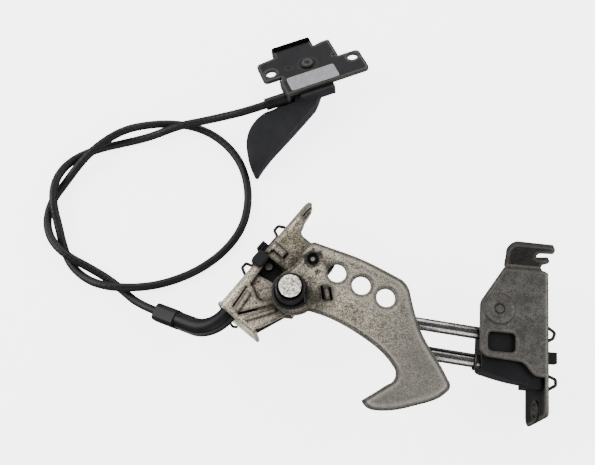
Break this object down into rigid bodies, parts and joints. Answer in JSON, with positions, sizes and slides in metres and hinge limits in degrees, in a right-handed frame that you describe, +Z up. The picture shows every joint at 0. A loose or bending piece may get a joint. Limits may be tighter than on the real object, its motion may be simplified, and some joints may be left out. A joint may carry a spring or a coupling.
{
  "type": "hood safety catch with cable release",
  "caption": "Hood safety catch: swinging hook on a pressed bracket, rod bow on a second bracket, and a sheathed release cable to a pull lever on its own plate.",
  "frame": {"origin": "centre of the bottom of the part's box without the cable sheath, at table height", "axes": "+Z up from the table the part lies on; +X from the cable loop towards the second bracket; +Y from the hook towards the handle"},
  "size_m": [0.3019, 0.2499, 0.059],
  "materials": {
    "catch_steel": "zinc plated sheet, mottled and grainy",
    "hook_steel": "zinc plated plate, matt and mottled",
    "striker_steel": "darker plated sheet, mottled",
    "handle_steel": "black coated sheet, satin",
    "inner_steel": "dark plated sheet in shade",
    "pin_steel": "bright rivet steel",
    "rod_steel": "drawn steel rod",
    "wire_steel": "spring wire",
    "clip_black": "black coated spring wire",
    "spring_black": "black oiled spring wire",
    "nipple_zinc": "dull cast zinc",
    "black_plastic": "black moulded plastic, satin",
    "lever_plastic": "black moulded plastic, fine grain",
    "buffer_rubber": "black rubber",
    "cable_black": "black cable sheath with faint spiral ribs",
    "label_grey": "bare printed-label stock with nothing printed"
  },
  "bodies": {
    "fixed_frame": {"catch_bracket": "catch_steel", "backing_plate": "catch_steel", "bow_carrier": "inner_steel", "pivot_pin": "pin_steel", "cable_guide": "black_plastic", "guide_clip": "clip_black", "arm_buffer": "buffer_rubber", "striker_bracket": "striker_steel", "striker_bow": "rod_steel", "bow_guide": "black_plastic", "bow_tie_wire": "wire_steel", "panel_clip_left": "clip_black", "clip_block_left": "black_plastic", "panel_clip_right": "clip_black", "clip_block_right": "black_plastic", "handle_bracket": "handle_steel", "lever_rivet": "handle_steel", "upper_ferrule": "black_plastic", "label_plate": "label_grey", "cable_sheath": "cable_black"},
    "hook": {"hook": "hook_steel", "hook_hub": "black_plastic", "release_arm": "black_plastic", "hook_spring": "spring_black", "hook_stud": "spring_black"},
    "lever": {"pull_lever": "lever_plastic"},
    "core_lower": {"cable_core_lower": "wire_steel", "cable_nipple_lower": "nipple_zinc"},
    "core_upper": {"cable_core_upper": "wire_steel", "cable_nipple_upper": "nipple_zinc"}
  },
  "joints": [
    {"name": "hook_swing", "type": "hinge", "parent": "fixed_frame", "child": "hook", "pos_m": [-0.0337, -0.0543, 0.0397], "axis": [0, 0, 1], "range_deg": [0, 27], "stiffness_Nm_per_rad": 0.4, "springref_deg": -20.05},
    {"name": "lever_pull", "type": "hinge", "parent": "fixed_frame", "child": "lever", "pos_m": [-0.0234, 0.1001, 0.0155], "axis": [-0.1294, 0.3516, 0.9272], "range_deg": [0, 28.97]},
    {"name": "core_lower_slide", "type": "slide", "parent": "fixed_frame", "child": "core_lower", "axis": [-0.6347, -0.7727, 0], "range_m": [0, 0.00961]},
    {"name": "core_upper_slide", "type": "slide", "parent": "fixed_frame", "child": "core_upper", "axis": [0.9385, 0.3453, 0], "range_m": [0, 0.00961]}
  ],
  "couplings": [
    {"joint": "lever_pull", "follows": "hook_swing", "ratio": 1.0722},
    {"joint": "core_lower_slide", "follows": "hook_swing", "m_per_rad": 0.020379},
    {"joint": "core_upper_slide", "follows": "hook_swing", "m_per_rad": 0.020379}
  ]
}
